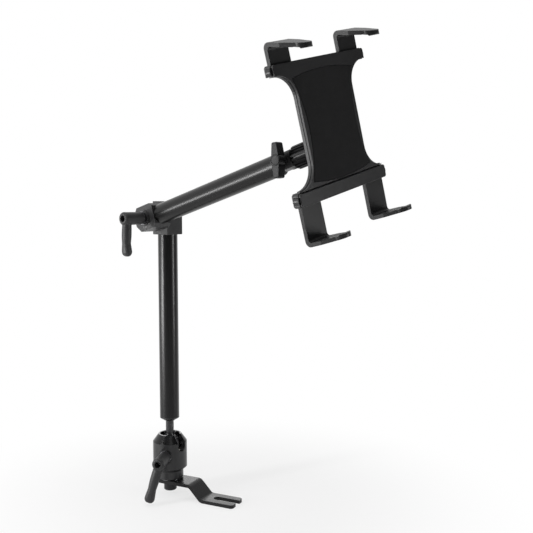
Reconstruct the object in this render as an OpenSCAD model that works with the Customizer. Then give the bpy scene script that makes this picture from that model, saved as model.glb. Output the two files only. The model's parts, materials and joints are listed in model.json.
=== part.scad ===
// Tablet mount that bolts under a car seat rail: a joggled fork foot, a ball head, a post and an arm of
// aluminium tube with a lever-locked elbow, and a swivelling tablet holder whose lower bar pulls out.
// Frame: origin on the fork's underside at the seat bolt's axis, +X out through the tines, +Z up.

/* [Foot] */
// Width of the steel strip
strip_w = 29.4; // [27:0.2:36]
// Thickness of the steel strip
strip_t = 4.5; // [3.5:0.1:6]
// Height of the upper tab above the lower tab
joggle_h = 17.2; // [16:0.2:30]
// Length of the sloping web, measured along the floor
web_run = 17; // [14:0.5:30]
// Mean radius of the two bends
bend_r = 7; // [5:0.5:9]
// Bolt seat of the fork slot to the lower bend
seat_to_bend = 17.3; // [14:0.1:40]
// Upper bend to the axis of the post
bend_to_post = 38.2; // [32:0.2:60]
// Strip behind the axis of the post
foot_tail = 16; // [14:0.5:24]
// Bolt seat to the tips of the tines
tine_reach = 29.4; // [20:0.2:45]
// Width of the open fork slot
slot_w = 10.5; // [8:0.1:13]

/* [Foot bolt] */
// Radius of the bolt that holds the ball head
foot_bolt_r = 5; // [4:0.5:6]
// Radius of its socket head
foot_head_r = 8.5; // [7:0.5:9]
// Height of its socket head
foot_head_h = 11.5; // [6:0.5:12]
// Depth the bolt screws into the ball head
foot_bolt_grip = 17; // [12:0.5:20]
// Thickness of the washer under the ball head
washer_t = 1; // [0.8:0.1:2]

/* [Ball head] */
// Radius of the housing
head_r = 22.4; // [21:0.2:26]
// Radius of the pedestal under the housing
pedestal_r = 17.5; // [14:0.5:20]
// Height of the pedestal
pedestal_h = 11; // [8:0.5:16]
// Height of the housing up to the collar
housing_h = 49.6; // [48:0.2:54]
// Height of the conical collar
collar_h = 10; // [9.4:0.1:10.2]
// Outer radius at the top of the collar
collar_top_r = 15; // [14.8:0.1:17]
// Radius of the ball
ball_r = 14; // [13.6:0.1:14.2]
// Height of the ball's centre above the pedestal's foot
ball_h = 44.8; // [44.4:0.1:45.2]
// Radius of the ball's stem
stem_r = 5.25; // [4.8:0.05:5.8]
// Height of the clamp lever's axis above the pedestal's foot
head_lever_h = 33.6; // [32:0.2:34]
// Direction of the clamp lever, anticlockwise from +X
head_lever_az = -74; // [-90:1:-60]
// Lean of the clamp lever's grip
head_lever_lean = 16; // [-30:1:30]
// Direction of the drop slot
slot_az = -12; // [-20:1:20]

/* [Post and arm] */
// Outer radius of both tubes
tube_r = 12.7; // [12.2:0.1:13.2]
// Wall of both tubes
tube_wall = 2; // [1.2:0.1:3]
// Length of the post tube
post_len = 241.9; // [150:1:300]
// Length of the arm tube
arm_len = 197; // [120:1:260]
// Radius of the stud between ball and post
stud_r = 5; // [4:0.1:5.2]
// Clear stem between the ball and the post
stem_clear = 32.5; // [28:0.5:40]
// Width of the elbow blocks across the post
block_w = 27.4; // [26:0.2:30]
// Height of the post's elbow block
block_h = 43.1; // [36:0.5:50]
// Height of the arm's elbow block
arm_block_h = 31; // [28:0.5:34]
// Overhang of the arm block past the elbow's axis
arm_block_tail = 16; // [14.5:0.5:18]
// Elbow axis above the underside of the post block
elbow_up = 22; // [18:0.5:26]
// Thickness of the friction disc in the elbow
disc_t = 1; // [0.6:0.1:2]
// Turn of the arm about the post, anticlockwise from +X
arm_yaw = -12.3; // [-30:0.5:30]
// Rise of the arm above the floor
arm_pitch = 17; // [0:0.5:45]

/* [Clamp levers] */
// Radius of the lever's steel stud
lever_stud_r = 4; // [3:0.5:5]
// Radius of the lever's hub
lever_hub_r = 8.2; // [7.4:0.1:9]
// Height of the lever's hub
lever_hub_h = 34; // [30:0.5:40]
// Length of the head lever's grip from the stud's axis to its tip
head_grip_len = 54.5; // [44:0.5:60]
// Length of the elbow lever's grip from the stud's axis to its tip
elbow_grip_len = 47; // [40:0.5:70]
// Lift that frees the grip from its splines
lever_lift = 3.5; // [2:0.1:4]

/* [Wing knuckle] */
// Knuckle's axis beyond the end of the arm tube
tip_reach = 12.6; // [12:0.1:13.5]
// Knuckle's axis to the centre of the swivel ball
knuckle_to_ball = 28; // [27:0.1:30]
// Radius of the knuckle's ears
ear_r = 9.5; // [8.5:0.1:10.5]
// Thickness of the tongue between the ears
tongue_w = 10; // [8:0.2:12]
// Radius of the knuckle's bolt
knuckle_bolt_r = 3; // [2.5:0.1:4]
// Span of the wing knob
wing_span = 39; // [30:1:46]
// Depth of the wing knob along its bolt
wing_depth = 12; // [10:0.5:15]

/* [Swivel] */
// Radius of the swivel ball
swivel_r = 9; // [8.8:0.1:9.2]
// Outer radius of the ribbed ring nut
ring_r = 13.2; // [13:0.1:14.5]
// Length of the ribbed ring nut
ring_len = 23; // [22.5:0.1:24]
// Number of ribs round the ring nut
ring_ribs = 20; // [14:1:24]
// Swivel ball's centre to the back of the holder
ball_to_back = 30.5; // [29:0.5:36]
// Radius of the adapter disc on the holder's back
adapter_r = 19; // [17:0.5:22]
// Thickness of the adapter disc
adapter_t = 6; // [5:0.5:8]
// Roll, nod and turn of the holder at rest
holder_roll = 11.6; // [-20:0.1:20]
holder_nod = 13.1; // [-15:0.1:15]
holder_turn = -8.1; // [-12:0.1:12]

/* [Holder] */
// Length of the top and bottom bars
bar_l = 142.6; // [136:0.5:160]
// Twice the height from the holder's middle to its top edge
holder_h = 140.6; // [136:0.5:160]
// Height of the top bar
bar_h = 13; // [11:0.5:15]
// Height of the lower bar
low_bar_h = 15; // [13:0.5:18]
// Thickness of the holder
holder_t = 11.5; // [11:0.1:13]
// Half width of the waist
waist = 43.5; // [42:0.5:48]
// How far the waist's back lies in from the bars' backs
waist_set = 4.8; // [4.2:0.1:5]
// Step from the back shell's edge in to the front shell's
shell_step = 0.6; // [0.3:0.1:1]
// Rise of the holder's middle above the swivel
centre_up = 25.9; // [15:0.5:30]
// Thickness of the foam pad
pad_t = 1.8; // [1.6:0.1:3]
// Depth of the pocket that holds the pad
pad_sunk = 1.4; // [1:0.1:1.6]
// Waist's edge to the pad's narrow side
pad_rim = 6; // [4:0.5:8]
// How far the pad's corners spread beyond the waist
pad_spread = 4; // [0:0.5:4.5]
// Lower bar's inner edge to the pad's lower end
pad_margin = 1.5; // [1:0.1:4]
// Reach of the pad's upper end into the top bar
pad_rise = 1.5; // [-1:0.1:3]

/* [Legs] */
// Width of a leg
leg_w = 30; // [26:0.5:32]
// Thickness of a leg's stem
leg_t = 4.5; // [3.5:0.1:4.6]
// Bar end to the near side of a leg
leg_inset = 3.4; // [3.4:0.1:6]
// Stem of an upper leg beyond the bar
upper_leg = 21.5; // [15:0.5:60]
// Stem of a lower leg beyond the bar
lower_leg = 41; // [15:0.5:60]
// Reach of a lip from the back of its stem
lip_reach = 46; // [35:1:55]
// Thickness of a lip at its root
lip_t = 4.6; // [3.5:0.1:6]
// Slope of an upper lip towards the tablet, at its tip
upper_toe = 8; // [2:0.5:10]
// Slope of a lower lip towards the tablet, at its tip
lower_toe = 5; // [2:0.5:10]
// Height of the hook at the tip of a lip
lip_hook = 0.8; // [0.5:0.1:3]

/* [Hidden] */
$fn = 64;

// Clearances
run = 0.05;
gap = 0.3;
eps = 0.01;

// Heights and places along the post
post_x = seat_to_bend + web_run + bend_to_post;
tab_top = joggle_h + strip_t;
head_z = tab_top + washer_t;
ball_z = head_z + ball_h;
plug_z = ball_z + stem_clear;
plug_cone = 4;
plug_rim = 1.5;
tube_z = plug_z + plug_cone + plug_rim;
block_z = tube_z + post_len;
elbow_z = block_z + elbow_up;
bore_r = tube_r - tube_wall;
spigot_r = bore_r - run;
arm_off = block_w + disc_t;
arm_start = 18;
knuckle_t = arm_start + arm_len + tip_reach;

// Seats inside the ball head
seat_r = ball_r + 0.1;
cavity_r = ball_r + 2.5;
seat_floor = ball_h - ball_r - 3;
seat_top = ball_h - 6.8;
mouth_h = 7.7;

// Wing knuckle
fork_w = 24.6;
fork_out = fork_w / 2;
fork_in = tongue_w / 2 + gap;
tip_rim = tip_reach + 0.4;
ring_x = 10.5;
cup_lip = 4;
hub_reach = 1.3;

// Holder: the back plane is at x = 0 and the front plane at holder_t, in the holder's own frame
half_l = bar_l / 2;
half_h = holder_h / 2;
bar_in = half_h - bar_h;
split_x = holder_t - 3.1;
floor_x = 2.1;
leg_x = floor_x + 0.1;
rail_x = waist_set + 1.2;
low_edge = bar_in + low_bar_h;
boss_r = adapter_r + 2;
flare_r = half_l - waist - 4;
leg_y = half_l - leg_inset - leg_w / 2;
leg_grip = 9;
seam = 0.3;
rail_y = 24;
rail_w = 14;
rail_t = split_x - rail_x - 2 * gap;
rail_len = 78;
spring_len = 60;
spring_y = 5;
spring_rise = 6;
spring_wire = 0.5;
release_deep = 3.4;
release_travel = 1.5;
release_proud = 2.6;

// Places of each frame of the chain
module at_head() { translate([-post_x, 0, head_z]) children(); }
module at_head_lever() {
  at_head() rotate([0, 0, head_lever_az]) translate([head_r - 1.5, 0, head_lever_h]) children();
}
module at_elbow() { translate([-post_x, 0, elbow_z]) rotate([0, 0, arm_yaw]) children(); }
module at_arm() { at_elbow() translate([0, -arm_off, 0]) rotate([0, -arm_pitch, 0]) children(); }
module at_elbow_lever() {
  at_elbow() translate([0, -arm_off - block_w / 2 - 1.5, 0]) rotate([0, 0, -90]) children();
}
module at_knuckle() { at_arm() translate([knuckle_t, 0, 0]) children(); }
module at_swivel() {
  at_knuckle() translate([knuckle_to_ball, 0, 0])
    rotate([holder_roll, holder_nod, holder_turn]) children();
}
module at_holder() { at_swivel() translate([ball_to_back, 0, centre_up]) children(); }

// Plain shapes
module along_x(r, x0, x1) { translate([x0, 0, 0]) rotate([0, 90, 0]) cylinder(r = r, h = x1 - x0); }
module along_y(r, y0, y1) { translate([0, y1, 0]) rotate([90, 0, 0]) cylinder(r = r, h = y1 - y0); }
module cone_x(r0, r1, x0, x1) {
  translate([x0, 0, 0]) rotate([0, 90, 0]) cylinder(r1 = r0, r2 = r1, h = x1 - x0);
}
module block(x0, x1, y0, y1, z0, z1) { translate([x0, y0, z0]) cube([x1 - x0, y1 - y0, z1 - z0]); }
module round_square(x0, x1, y0, y1, r) {
  union() {
    translate([x0 + r, y0]) square([x1 - x0 - 2 * r, y1 - y0]);
    translate([x0, y0 + r]) square([x1 - x0, y1 - y0 - 2 * r]);
    for (x = [x0 + r, x1 - r], y = [y0 + r, y1 - r]) translate([x, y]) circle(r = r, $fn = 32);
  }
}
// Solid of a flat outline drawn in Y and Z, from x0 to x1
module plate_x(x0, x1) {
  translate([x0, 0, 0]) rotate([90, 0, 90]) linear_extrude(height = x1 - x0) children();
}
function arc(cx, cy, r, a0, a1, n) =
  [for (i = [0 : n]) let (a = a0 + (a1 - a0) * i / n) [cx + r * cos(a), cy + r * sin(a)]];

// Foot: a strip with two bends, drawn as its side view and cut to its plan
web_a = atan(joggle_h / web_run);
bend_len = bend_r * tan(web_a / 2);
module strip_side() {
  x_low = seat_to_bend;
  x_high = seat_to_bend + web_run;
  low_z = strip_t / 2;
  high_z = joggle_h + low_z;
  r_in = bend_r - low_z;
  r_out = bend_r + low_z;
  polygon(concat(
    [[tine_reach, 0]],
    arc(-x_low + bend_len, low_z + bend_r, r_out, -90, -90 - web_a, 8),
    arc(-x_high - bend_len, high_z - bend_r, r_in, 90 - web_a, 90, 8),
    [[-post_x - foot_tail, joggle_h], [-post_x - foot_tail, tab_top]],
    arc(-x_high - bend_len, high_z - bend_r, r_out, 90, 90 - web_a, 8),
    arc(-x_low + bend_len, low_z + bend_r, r_in, -90 - web_a, -90, 8),
    [[tine_reach, strip_t]]
  ));
}
module strip_plan() {
  difference() {
    round_square(-post_x - foot_tail, tine_reach, -strip_w / 2, strip_w / 2, 4);
    circle(r = slot_w / 2);
    translate([0, -slot_w / 2]) square([tine_reach + 1, slot_w]);
    translate([-post_x, 0]) circle(r = foot_bolt_r + 0.25);
  }
}
module foot_bracket() {
  color([0.16, 0.16, 0.17]) intersection() {
    rotate([90, 0, 0]) linear_extrude(height = strip_w + 2, center = true) strip_side();
    linear_extrude(height = tab_top + 5) strip_plan();
  }
}
module foot_bolt() {
  color([0.1, 0.1, 0.11]) translate([-post_x, 0, 0]) difference() {
    union() {
      translate([0, 0, joggle_h]) mirror([0, 0, 1]) cylinder(r = foot_head_r, h = foot_head_h - 1);
      translate([0, 0, joggle_h - foot_head_h]) cylinder(r1 = foot_head_r - 1, r2 = foot_head_r, h = 1);
      translate([0, 0, joggle_h - 1]) cylinder(r = foot_bolt_r, h = 1 + strip_t + washer_t + foot_bolt_grip);
    }
    translate([0, 0, joggle_h - foot_head_h - 1]) cylinder(r = foot_head_r * 0.58, h = 6, $fn = 6);
  }
}
module foot_washer() {
  color([0.5, 0.5, 0.52]) translate([-post_x, 0, tab_top]) difference() {
    cylinder(r = pedestal_r - 3, h = washer_t);
    translate([0, 0, -1]) cylinder(r = foot_bolt_r + 0.25, h = washer_t + 2);
  }
}

// Ball head
module drop_slot() {
  rotate([0, 0, slot_az]) {
    translate([0, 0, ball_h]) along_x(stem_r + 1, 0, head_r + 5);
    block(0, head_r + 5, -stem_r - 1, stem_r + 1, ball_h, housing_h + collar_h + 5);
  }
}
module drop_outline(r) {
  union() {
    circle(r = r);
    polygon([[-r * 0.71, r * 0.71], [0, r * 1.55], [r * 0.71, r * 0.71], [0, 0]]);
  }
}
module head_housing() {
  pedestal_top = pedestal_h + (head_r - pedestal_r) * 0.85;
  color([0.15, 0.15, 0.16]) at_head() difference() {
    rotate_extrude() polygon([
      [0, 0], [pedestal_r - 1, 0], [pedestal_r, 1], [pedestal_r, pedestal_h], [head_r, pedestal_top],
      [head_r, housing_h], [0, housing_h]
    ]);
    translate([0, 0, seat_floor]) cylinder(r = cavity_r, h = housing_h);
    translate([0, 0, -1]) cylinder(r = foot_bolt_r + run, h = foot_bolt_grip + 2);
    rotate([0, 0, head_lever_az]) translate([0, 0, head_lever_h]) {
      along_x(lever_stud_r + run, cavity_r - 2, head_r + 5);
      plate_x(head_r - 1.5, head_r + 5) drop_outline(lever_hub_r + 1.4);
    }
    drop_slot();
  }
}
module head_collar() {
  lip_h = ball_h + mouth_h;
  lip_r = sqrt(pow(seat_r, 2) - pow(mouth_h, 2));
  skirt = 3.6;
  skirt_h = housing_h - skirt;
  skirt_a = asin((skirt_h - ball_h) / seat_r);
  lip_a = asin(mouth_h / seat_r);
  color([0.13, 0.13, 0.14]) at_head() difference() {
    rotate_extrude() polygon(concat(
      [[cavity_r - run, skirt_h], [cavity_r - run, housing_h], [head_r, housing_h]],
      [[collar_top_r, housing_h + collar_h], [collar_top_r - 2, housing_h + collar_h], [lip_r, lip_h]],
      arc(0, ball_h, seat_r, lip_a, skirt_a, 10)
    ));
    drop_slot();
  }
}
module ball_seat() {
  color([0.75, 0.75, 0.72]) at_head() difference() {
    translate([0, 0, seat_floor]) cylinder(r = cavity_r - run, h = seat_top - seat_floor);
    translate([0, 0, ball_h]) sphere(r = seat_r);
    translate([0, 0, seat_floor - 1]) cylinder(r = ball_r / 2, h = ball_r);
  }
}
module pressure_pad() {
  color([0.72, 0.58, 0.3]) at_head() rotate([0, 0, head_lever_az]) translate([0, 0, head_lever_h])
    along_x(lever_stud_r - 0.3, cavity_r, cavity_r + 1.4);
}
module ball_stud() {
  flare = 1;
  color([0.35, 0.35, 0.37]) at_head() translate([0, 0, ball_h]) union() {
    difference() {
      union() {
        sphere(r = ball_r);
        translate([0, 0, ball_r - 2]) cylinder(r1 = stem_r + flare, r2 = stem_r, h = flare + 2);
        translate([0, 0, ball_r - 1]) cylinder(r = stem_r, h = stem_clear - ball_r + 1);
      }
      for (s = [-1, 1])
        translate([s * (stem_r + 4.4), 0, stem_clear - 7]) cube([10, 20, 6], center = true);
    }
    translate([0, 0, stem_clear - 1]) cylinder(r = stud_r, h = 19);
  }
}

// Clamp lever, drawn with its stud along X and its mounting face at x = 0
module lever_stud(depth) {
  boss_r = lever_hub_r - 2.6;
  color([0.55, 0.55, 0.57]) difference() {
    union() {
      along_x(lever_stud_r, -depth, 1);
      along_x(lever_hub_r, 0, 2);
      along_x(boss_r, 1, 15);
    }
    along_x(2, 6, 20);
  }
}
module lever_screw() {
  color([0.6, 0.6, 0.62]) difference() {
    union() {
      along_x(2 - run, 7, 18 + lever_lift + 0.5);
      along_x(3.4, 18 + lever_lift, 18 + lever_lift + 2.6);
    }
    along_x(1.5, 18 + lever_lift + 1.2, 40, $fn = 6);
  }
}
module lever_grip(lean, grip) {
  boss_r = lever_hub_r - 2.6;
  arm_x = lever_hub_h - 7.5;
  color([0.14, 0.14, 0.15]) rotate([lean, 0, 0]) difference() {
    union() {
      cone_x(lever_hub_r - 0.4, lever_hub_r, 2 + gap, lever_hub_h - 2);
      cone_x(lever_hub_r, lever_hub_r - 2.4, lever_hub_h - 2, lever_hub_h);
      hull() {
        translate([arm_x, 0, 0]) sphere(r = 6.4, $fn = 20);
        translate([arm_x + 1.5, 0, -grip * 0.66]) sphere(r = 4.5, $fn = 20);
      }
      hull() {
        translate([arm_x + 1.5, 0, -grip * 0.66]) sphere(r = 4.5, $fn = 20);
        for (s = [-1, 1]) translate([arm_x + 0.8, s * 1.3, -grip + 5.4]) sphere(r = 5.4, $fn = 20);
      }
    }
    along_x(boss_r + 0.3, 0, 15 + gap);
    along_x(2.4, 5, lever_hub_h);
    along_x(3.9, 18, lever_hub_h + 5);
  }
}
module head_lever_stud() { at_head_lever() lever_stud(head_r - 1.5 - cavity_r - 1.5); }
module head_lever_screw() { at_head_lever() lever_screw(); }
module head_lever() { at_head_lever() lever_grip(-head_lever_lean, head_grip_len); }
module elbow_lever_stud() { at_elbow_lever() lever_stud(block_w * 1.5 + disc_t + 1.5); }
module elbow_lever_screw() { at_elbow_lever() lever_screw(); }
module elbow_lever() { at_elbow_lever() lever_grip(0, elbow_grip_len); }

// Post
module post_plug() {
  color([0.14, 0.14, 0.15]) translate([-post_x, 0, plug_z]) difference() {
    rotate_extrude() polygon([
      [0, 0], [stem_r + 1.2, 0], [tube_r, plug_cone], [tube_r, plug_cone + plug_rim],
      [spigot_r, plug_cone + plug_rim], [spigot_r, plug_cone + plug_rim + 18], [0, plug_cone + plug_rim + 18]
    ]);
    translate([0, 0, -1]) cylinder(r = stud_r + run, h = 20);
  }
}
module tube(length) {
  difference() {
    cylinder(r = tube_r, h = length);
    translate([0, 0, -1]) cylinder(r = bore_r, h = length + 2);
  }
}
module post_tube() { color([0.12, 0.12, 0.13]) translate([-post_x, 0, tube_z]) tube(post_len); }
module post_block() {
  color([0.15, 0.15, 0.16]) at_elbow() difference() {
    union() {
      translate([0, 0, -elbow_up]) linear_extrude(height = block_h)
        round_square(-block_w / 2, block_w / 2, -block_w / 2, block_w / 2, 1.2);
      translate([0, 0, -elbow_up - 18]) cylinder(r = spigot_r, h = 20);
    }
    along_y(lever_stud_r + run, -block_w, block_w * 0.35);
  }
}
module elbow_disc() {
  color([0.45, 0.45, 0.47]) at_elbow() difference() {
    along_y(block_w / 2 - 0.7, -block_w / 2 - disc_t, -block_w / 2);
    along_y(lever_stud_r + 0.3, -block_w, 0);
  }
}

// Arm
module arm_block() {
  chamfer = arm_block_h * 0.27;
  top = arm_block_h / 2;
  color([0.15, 0.15, 0.16]) at_arm() difference() {
    union() {
      rotate([90, 0, 0]) linear_extrude(height = block_w, center = true) polygon([
        [-arm_block_tail, -top + chamfer], [-arm_block_tail + chamfer * 0.8, -top],
        [arm_start - 4, -top], [arm_start, -top + 4], [arm_start, top - 4], [arm_start - 4, top],
        [-arm_block_tail + chamfer * 0.8, top], [-arm_block_tail, top - chamfer]
      ]);
      along_x(spigot_r, arm_start - 1, arm_start + 18);
      along_y(lever_hub_r + 2, -block_w / 2 - 1.5, 0);
    }
    along_y(lever_stud_r + run, -block_w, block_w);
  }
}
module arm_tube() { color([0.12, 0.12, 0.13]) at_arm() translate([arm_start, 0, 0]) rotate([0, 90, 0]) tube(arm_len); }
module arm_tip() {
  tube_end = -tip_reach;
  color([0.13, 0.13, 0.14]) at_knuckle() difference() {
    union() {
      along_x(spigot_r, tube_end - 18, tube_end);
      cone_x(tube_r, tube_r, tube_end, -tip_rim + 1.6);
      cone_x(tube_r, ear_r, -tip_rim + 1.6, -tip_rim + 3);
      intersection() {
        union() {
          along_y(ear_r, -tongue_w / 2, tongue_w / 2);
          block(-tip_rim + 1, 0, -tongue_w / 2, tongue_w / 2, -ear_r, ear_r);
        }
        along_x(tube_r, -tip_rim - 5, ear_r + 5);
      }
    }
    along_y(knuckle_bolt_r + run, -tongue_w, tongue_w);
  }
}

// Knuckle fork with the cup of the swivel ball
module knuckle_fork() {
  color([0.12, 0.12, 0.13]) at_knuckle() difference() {
    union() {
      intersection() {
        difference() {
          union() {
            along_y(ear_r, -fork_out, fork_out);
            block(0, ring_x, -fork_out, fork_out, -ear_r, ear_r);
          }
          block(-ear_r - 1, ear_r + gap, -fork_in, fork_in, -ear_r - 1, ear_r + 1);
        }
        along_x(fork_out, -ear_r - 1, ring_x + 1);
      }
      along_x(fork_out - 1.6, ring_x - 1 + gap, knuckle_to_ball + cup_lip);
    }
    along_y(knuckle_bolt_r + 0.1, -fork_w, fork_w);
    translate([0, fork_out - 3, 0]) rotate([-90, 0, 0]) cylinder(r = knuckle_bolt_r * 1.95, h = 10, $fn = 6);
    translate([knuckle_to_ball, 0, 0]) sphere(r = swivel_r + 0.1);
    along_x(swivel_r - 0.9, knuckle_to_ball + 3.9, knuckle_to_ball + 10);
    along_x(swivel_r * 0.6, knuckle_to_ball - swivel_r - 5, knuckle_to_ball);
  }
}
module knuckle_bolt() {
  color([0.5, 0.5, 0.52]) at_knuckle() union() {
    along_y(knuckle_bolt_r, -fork_out - wing_depth + 1, fork_out - 2);
    translate([0, fork_out - 2.8, 0]) rotate([-90, 0, 0]) cylinder(r = knuckle_bolt_r * 1.85, h = 3.2, $fn = 6);
  }
}
module wing_knob() {
  y_in = -fork_out - hub_reach;
  wing_lean = 12;
  color([0.14, 0.14, 0.15]) at_knuckle() rotate([0, wing_lean, 0]) difference() {
    union() {
      along_y(6, y_in - 1, -fork_out);
      along_y(6.6, y_in - wing_depth, y_in);
      for (s = [-1, 1]) hull() {
        translate([0, y_in - wing_depth / 2, s * 3]) cube([9, wing_depth, 6], center = true);
        for (x = [-2.2, 2.2], y = [-wing_depth + 2, -2.4])
          translate([x, y_in + y, s * (wing_span / 2 - 2)]) sphere(r = 2, $fn = 16);
      }
    }
    along_y(knuckle_bolt_r + run, -fork_out - wing_depth, 0);
  }
}
module ring_nut() {
  rib_h = 1.4;
  core_r = ring_r - rib_h;
  rib_w = 2 * PI * ring_r / ring_ribs * 0.5;
  mouth = knuckle_to_ball + cup_lip + gap;
  end = ring_x + ring_len + gap;
  color([0.1, 0.1, 0.11]) at_knuckle() difference() {
    union() {
      along_x(core_r, ring_x + gap, end);
      for (i = [0 : ring_ribs - 1]) rotate([360 * i / ring_ribs, 0, 0])
        block(ring_x + gap + 1, end - 1, -rib_w / 2, rib_w / 2, core_r - 1, ring_r);
    }
    along_x(fork_out - 1.5, 0, mouth);
    along_x(swivel_r - 0.2, mouth - 1, end + 5);
  }
}

// Swivel ball, adapter and its screws
module swivel_ball() {
  shank_r = 4.5;
  collar_x = ball_to_back - adapter_t - 2;
  shank_end = ball_to_back - 1.2;
  shank_a = asin(shank_r / swivel_r);
  color([0.4, 0.4, 0.42]) at_swivel() rotate([0, 90, 0]) rotate_extrude() polygon(concat(
    [[0, -swivel_r]],
    arc(0, 0, swivel_r, -87, 90 - shank_a, 24),
    [[shank_r, collar_x], [5, collar_x], [5, shank_end - 2.5], [8, shank_end - 2.5], [8, shank_end], [0, shank_end]]
  ));
}
module adapter_disc() {
  neck_r = 9;
  color([0.14, 0.14, 0.15]) at_swivel() difference() {
    union() {
      along_x(adapter_r, ball_to_back - adapter_t + 1, ball_to_back);
      cone_x(neck_r, adapter_r - 2, ball_to_back - adapter_t - 1.5, ball_to_back - adapter_t + 1);
    }
    along_x(5 + run, 0, ball_to_back + 1);
    along_x(8.1, ball_to_back - 3.8, ball_to_back + 1);
    for (y = [-1, 1], z = [-1, 1]) translate([0, y * adapter_r * 0.58, z * adapter_r * 0.58]) {
      along_x(1.6, 0, ball_to_back + 1);
      along_x(3.2, 0, ball_to_back - adapter_t + 2.2);
    }
  }
}
module adapter_screws() {
  color([0.5, 0.5, 0.52]) at_swivel()
    for (y = [-1, 1], z = [-1, 1]) translate([0, y * adapter_r * 0.58, z * adapter_r * 0.58]) {
      along_x(2.9, ball_to_back - adapter_t, ball_to_back - adapter_t + 2.2);
      along_x(1.5, ball_to_back - adapter_t + 2, ball_to_back + floor_x - 0.3);
    }
}

// Holder outline in Y and Z: a waist with concave flares that run out into the bars
flare_lip = 1.5;
function flare(side, up, edge) =
  let (cx = side * (waist + flare_r), cz = up * (edge - flare_r))
  [for (i = [0 : 12]) let (a = 90 * i / 12) [cx - side * flare_r * cos(a), cz + up * flare_r * sin(a)]];
function reversed(v) = [for (i = [len(v) - 1 : -1 : 0]) v[i]];
module body_outline() {
  foot = bar_in - seam;
  polygon(concat(
    flare(1, 1, bar_in + 1),
    [[half_l, bar_in + 1], [half_l, half_h - 2], [half_l - 2, half_h], [-half_l + 2, half_h],
     [-half_l, half_h - 2], [-half_l, bar_in + 1]],
    reversed(flare(-1, 1, bar_in + 1)),
    flare(-1, -1, foot - flare_lip),
    [[-waist - flare_r, -foot], [waist + flare_r, -foot]],
    reversed(flare(1, -1, foot - flare_lip))
  ));
}
module pad_outline(shrink) {
  arch = 5;
  c = waist + pad_spread - shrink;
  w = waist - pad_rim - shrink;
  low = bar_in - pad_margin;
  high = bar_in + pad_rise;
  h = (low + high) / 2 - arch - shrink;
  side_r = (pow(h, 2) + pow(c - w, 2)) / (2 * (c - w));
  end_r = (pow(c, 2) + pow(arch, 2)) / (2 * arch);
  side_a = asin(h / side_r);
  end_a = asin(c / end_r);
  translate([0, (high - low) / 2]) polygon(concat(
    arc(w + side_r, 0, side_r, 180 + side_a, 180 - side_a, 12),
    arc(0, h + arch - end_r, end_r, 90 - end_a, 90 + end_a, 12),
    arc(-w - side_r, 0, side_r, side_a, -side_a, 12),
    arc(0, -h - arch + end_r, end_r, 270 - end_a, 270 + end_a, 12)
  ));
}
module leg_channels(up) {
  for (s = [-1, 1]) {
    block(floor_x, leg_x + leg_t + 0.2, s * leg_y - leg_w / 2 - 0.2, s * leg_y + leg_w / 2 + 0.2,
      up > 0 ? half_h - leg_grip - gap : -low_edge - 1, up > 0 ? half_h + 1 : -low_edge + leg_grip + gap);
    release_room(s, up);
  }
}
function bar_middle(up) = up > 0 ? half_h - bar_h / 2 : -bar_in - low_bar_h / 2;
module release_room(s, up) {
  z0 = bar_middle(up);
  y_in = half_l - release_deep;
  block(floor_x, holder_t - 2, s > 0 ? y_in : -half_l - 1, s > 0 ? half_l + 1 : -y_in, z0 - 4, z0 + 4);
}
module top_bar_outline() {
  polygon([[-half_l, bar_in + 2], [half_l, bar_in + 2], [half_l, half_h - 2], [half_l - 2, half_h],
    [-half_l + 2, half_h], [-half_l, half_h - 2]]);
}
module holder_back() {
  color([0.14, 0.14, 0.15]) at_holder() difference() {
    union() {
      plate_x(waist_set, split_x) body_outline();
      plate_x(0, waist_set + 0.5) top_bar_outline();
      translate([0, 0, -centre_up]) cone_x(boss_r, boss_r + 1, 0, waist_set + 0.5);
    }
    leg_channels(1);
    rail_slots();
    spring_room();
    for (p = cover_places) translate([0, p[0], p[1]]) {
      along_x(1.3, -1, holder_t);
      along_x(2.6, -1, waist_set + 1);
    }
    for (y = [-1, 1], z = [-1, 1]) translate([-1, y * adapter_r * 0.58, z * adapter_r * 0.58 - centre_up])
      along_x(1.55, 0, 1 + floor_x);
  }
}
cover_places = [[-34, 48], [34, 48], [-37, -46], [37, -46], [0, 52]];
module rail_slots() {
  for (s = [-1, 1]) block(rail_x, split_x + 1, s * rail_y - rail_w / 2 - gap,
    s * rail_y + rail_w / 2 + gap, -half_h, -bar_in + rail_len + gap);
}
module spring_room() {
  block(rail_x, split_x + 1, -spring_y - 4, spring_y + 4, -bar_in + spring_rise - 2, bar_in - 12);
}
module holder_front() {
  color([0.15, 0.15, 0.16]) at_holder() difference() {
    plate_x(split_x, holder_t) offset(delta = -shell_step) body_outline();
    plate_x(holder_t - pad_sunk, holder_t + 1) pad_outline(0);
    release_room(1, 1);
    release_room(-1, 1);
    for (p = cover_places) translate([0, p[0], p[1]]) along_x(1.3, 0, holder_t - pad_sunk - 0.5);
  }
}
module cover_screws() {
  color([0.5, 0.5, 0.52]) at_holder() for (p = cover_places) translate([0, p[0], p[1]]) {
    along_x(2.4, waist_set, waist_set + 1);
    along_x(1.25, waist_set + 0.9, holder_t - pad_sunk - 0.7);
  }
}
module foam_pad() {
  color([0.1, 0.1, 0.1]) at_holder()
    plate_x(holder_t - pad_sunk, holder_t - pad_sunk + pad_t) pad_outline(0.3);
}
module return_springs() {
  coil_r = (split_x - rail_x) / 2 - 0.05;
  color([0.6, 0.6, 0.62]) at_holder() for (s = [-1, 1])
    translate([rail_x + 0.05 + coil_r, s * spring_y, -bar_in + spring_rise]) difference() {
      cylinder(r = coil_r, h = spring_len, $fn = 24);
      translate([0, 0, -1]) cylinder(r = coil_r - spring_wire, h = spring_len + 2, $fn = 24);
    }
}

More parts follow.
